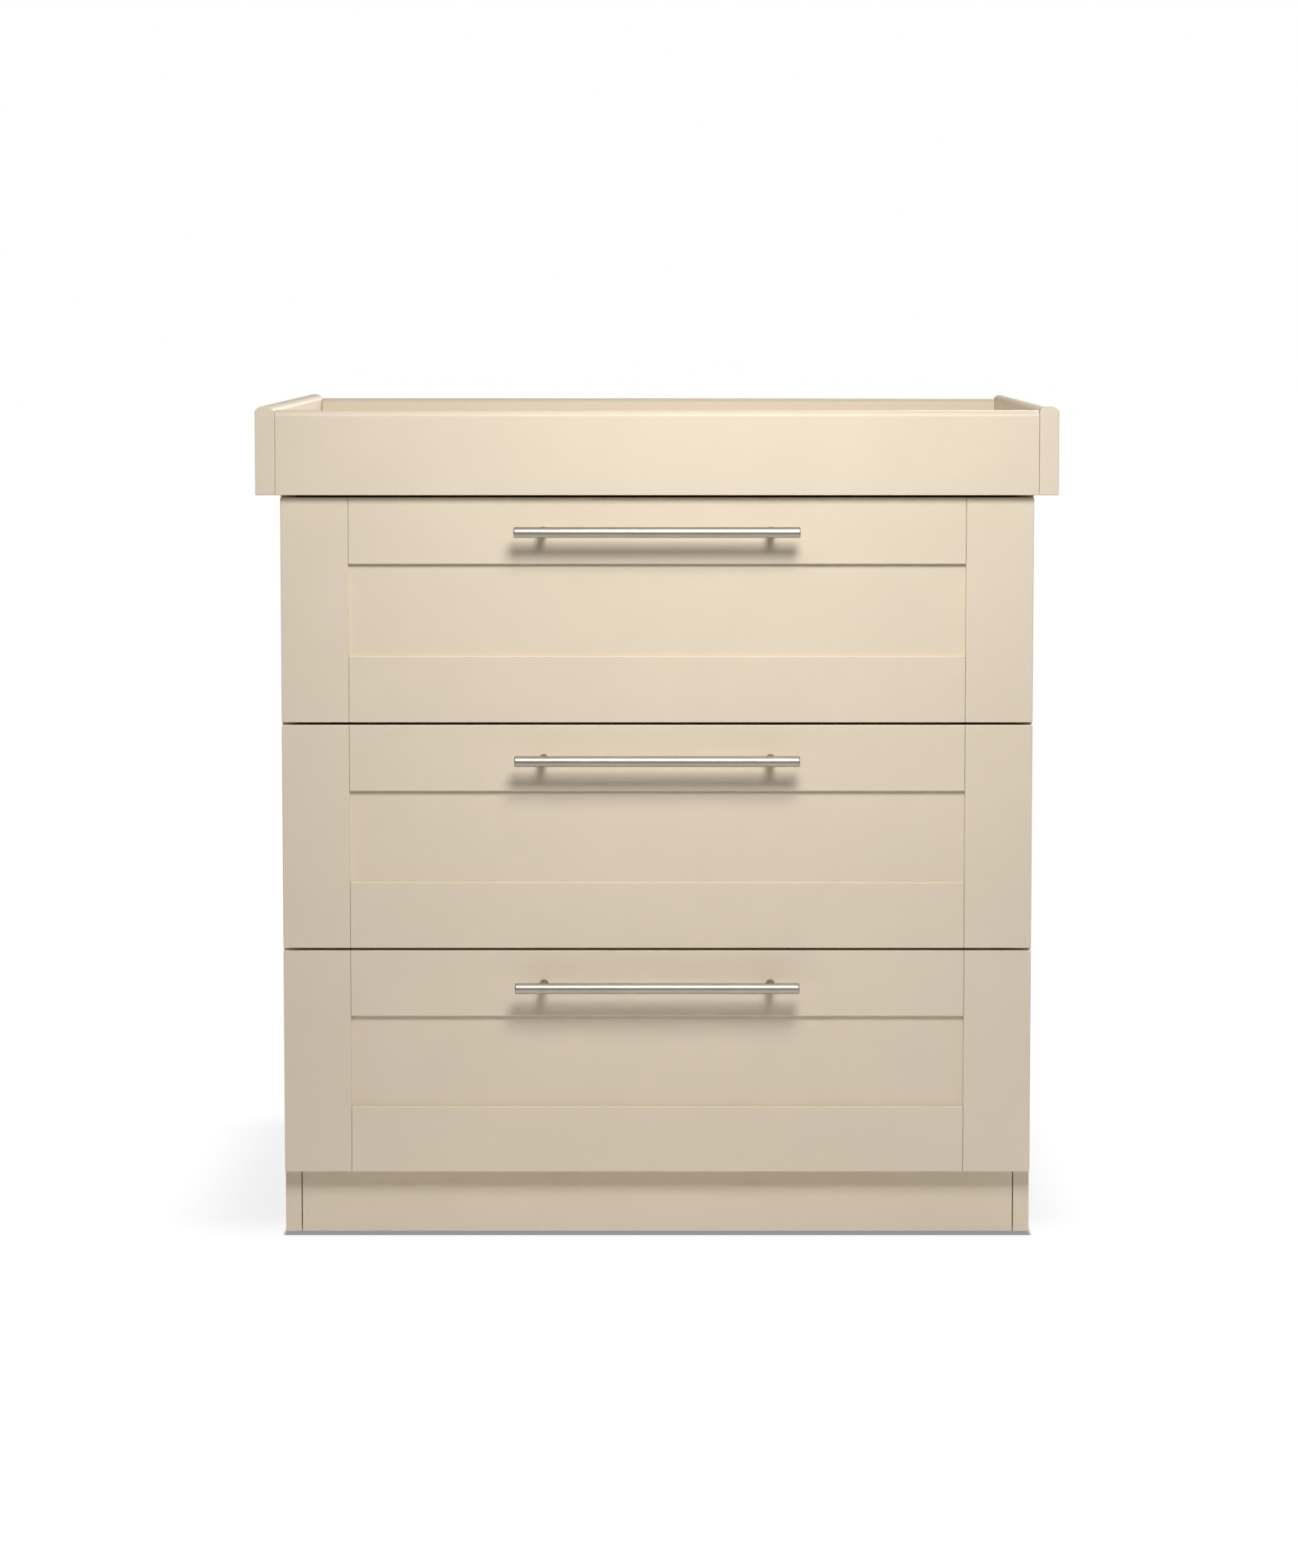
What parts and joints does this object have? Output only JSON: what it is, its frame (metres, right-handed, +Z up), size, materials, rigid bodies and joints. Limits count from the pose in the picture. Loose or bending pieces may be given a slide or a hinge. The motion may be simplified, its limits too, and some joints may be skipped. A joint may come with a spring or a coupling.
{
  "type": "changing table",
  "caption": "Chest of drawers with framed fronts and bar handles, carrying a lift-off changing tray with raised, crowned boards.",
  "frame": {"origin": "bottom centre of the whole object's box, on the floor", "axes": "+Z up, -Y towards the drawer fronts and handles, +X to the right as seen from the front"},
  "size_m": [0.9, 0.575, 0.949],
  "materials": {
    "painted_board": "satin cream spray paint on fibreboard",
    "foil_board": "matte off-white foil on chipboard",
    "hardboard": "off-white lacquered thin hardboard",
    "zinc_steel": "bright zinc-plated pressed steel",
    "satin_nickel": "satin brushed nickel",
    "nylon": "dark moulded nylon"
  },
  "bodies": {
    "case": {"left_side_panel": "painted_board", "right_side_panel": "painted_board", "top_panel": "painted_board", "bottom_panel": "painted_board", "front_plinth": "painted_board", "rear_plinth": "painted_board", "rear_top_rail": "painted_board", "back_panel": "hardboard", "wall_bracket": "zinc_steel", "front_left_glide": "nylon", "front_right_glide": "nylon", "rear_left_glide": "nylon", "rear_right_glide": "nylon", "bottom_left_cabinet_runner": "zinc_steel", "bottom_right_cabinet_runner": "zinc_steel", "middle_left_cabinet_runner": "zinc_steel", "middle_right_cabinet_runner": "zinc_steel", "top_left_cabinet_runner": "zinc_steel", "top_right_cabinet_runner": "zinc_steel"},
    "bottom_drawer": {"bottom_drawer_left_stile": "painted_board", "bottom_drawer_right_stile": "painted_board", "bottom_drawer_upper_rail": "painted_board", "bottom_drawer_lower_rail": "painted_board", "bottom_drawer_centre_panel": "painted_board", "bottom_drawer_left_side": "foil_board", "bottom_drawer_right_side": "foil_board", "bottom_drawer_back": "foil_board", "bottom_drawer_base": "hardboard", "bottom_drawer_handle": "satin_nickel", "bottom_drawer_left_runner": "zinc_steel", "bottom_drawer_right_runner": "zinc_steel"},
    "middle_drawer": {"middle_drawer_left_stile": "painted_board", "middle_drawer_right_stile": "painted_board", "middle_drawer_upper_rail": "painted_board", "middle_drawer_lower_rail": "painted_board", "middle_drawer_centre_panel": "painted_board", "middle_drawer_left_side": "foil_board", "middle_drawer_right_side": "foil_board", "middle_drawer_back": "foil_board", "middle_drawer_base": "hardboard", "middle_drawer_handle": "satin_nickel", "middle_drawer_left_runner": "zinc_steel", "middle_drawer_right_runner": "zinc_steel"},
    "top_drawer": {"top_drawer_left_stile": "painted_board", "top_drawer_right_stile": "painted_board", "top_drawer_upper_rail": "painted_board", "top_drawer_lower_rail": "painted_board", "top_drawer_centre_panel": "painted_board", "top_drawer_left_side": "foil_board", "top_drawer_right_side": "foil_board", "top_drawer_back": "foil_board", "top_drawer_base": "hardboard", "top_drawer_handle": "satin_nickel", "top_drawer_left_runner": "zinc_steel", "top_drawer_right_runner": "zinc_steel"},
    "tray": {"tray_front_board": "painted_board", "tray_rear_board": "painted_board", "tray_left_board": "painted_board", "tray_right_board": "painted_board", "tray_base": "painted_board"}
  },
  "joints": [
    {"name": "bottom_drawer_slide", "type": "slide", "parent": "case", "child": "bottom_drawer", "axis": [0, -1, 0], "range_m": [0, 0.33]},
    {"name": "middle_drawer_slide", "type": "slide", "parent": "case", "child": "middle_drawer", "axis": [0, -1, 0], "range_m": [0, 0.33]},
    {"name": "top_drawer_slide", "type": "slide", "parent": "case", "child": "top_drawer", "axis": [0, -1, 0], "range_m": [0, 0.33]},
    {"name": "tray_lift", "type": "slide", "parent": "case", "child": "tray", "axis": [0, 0, 1], "range_m": [0, 0.15]}
  ]
}
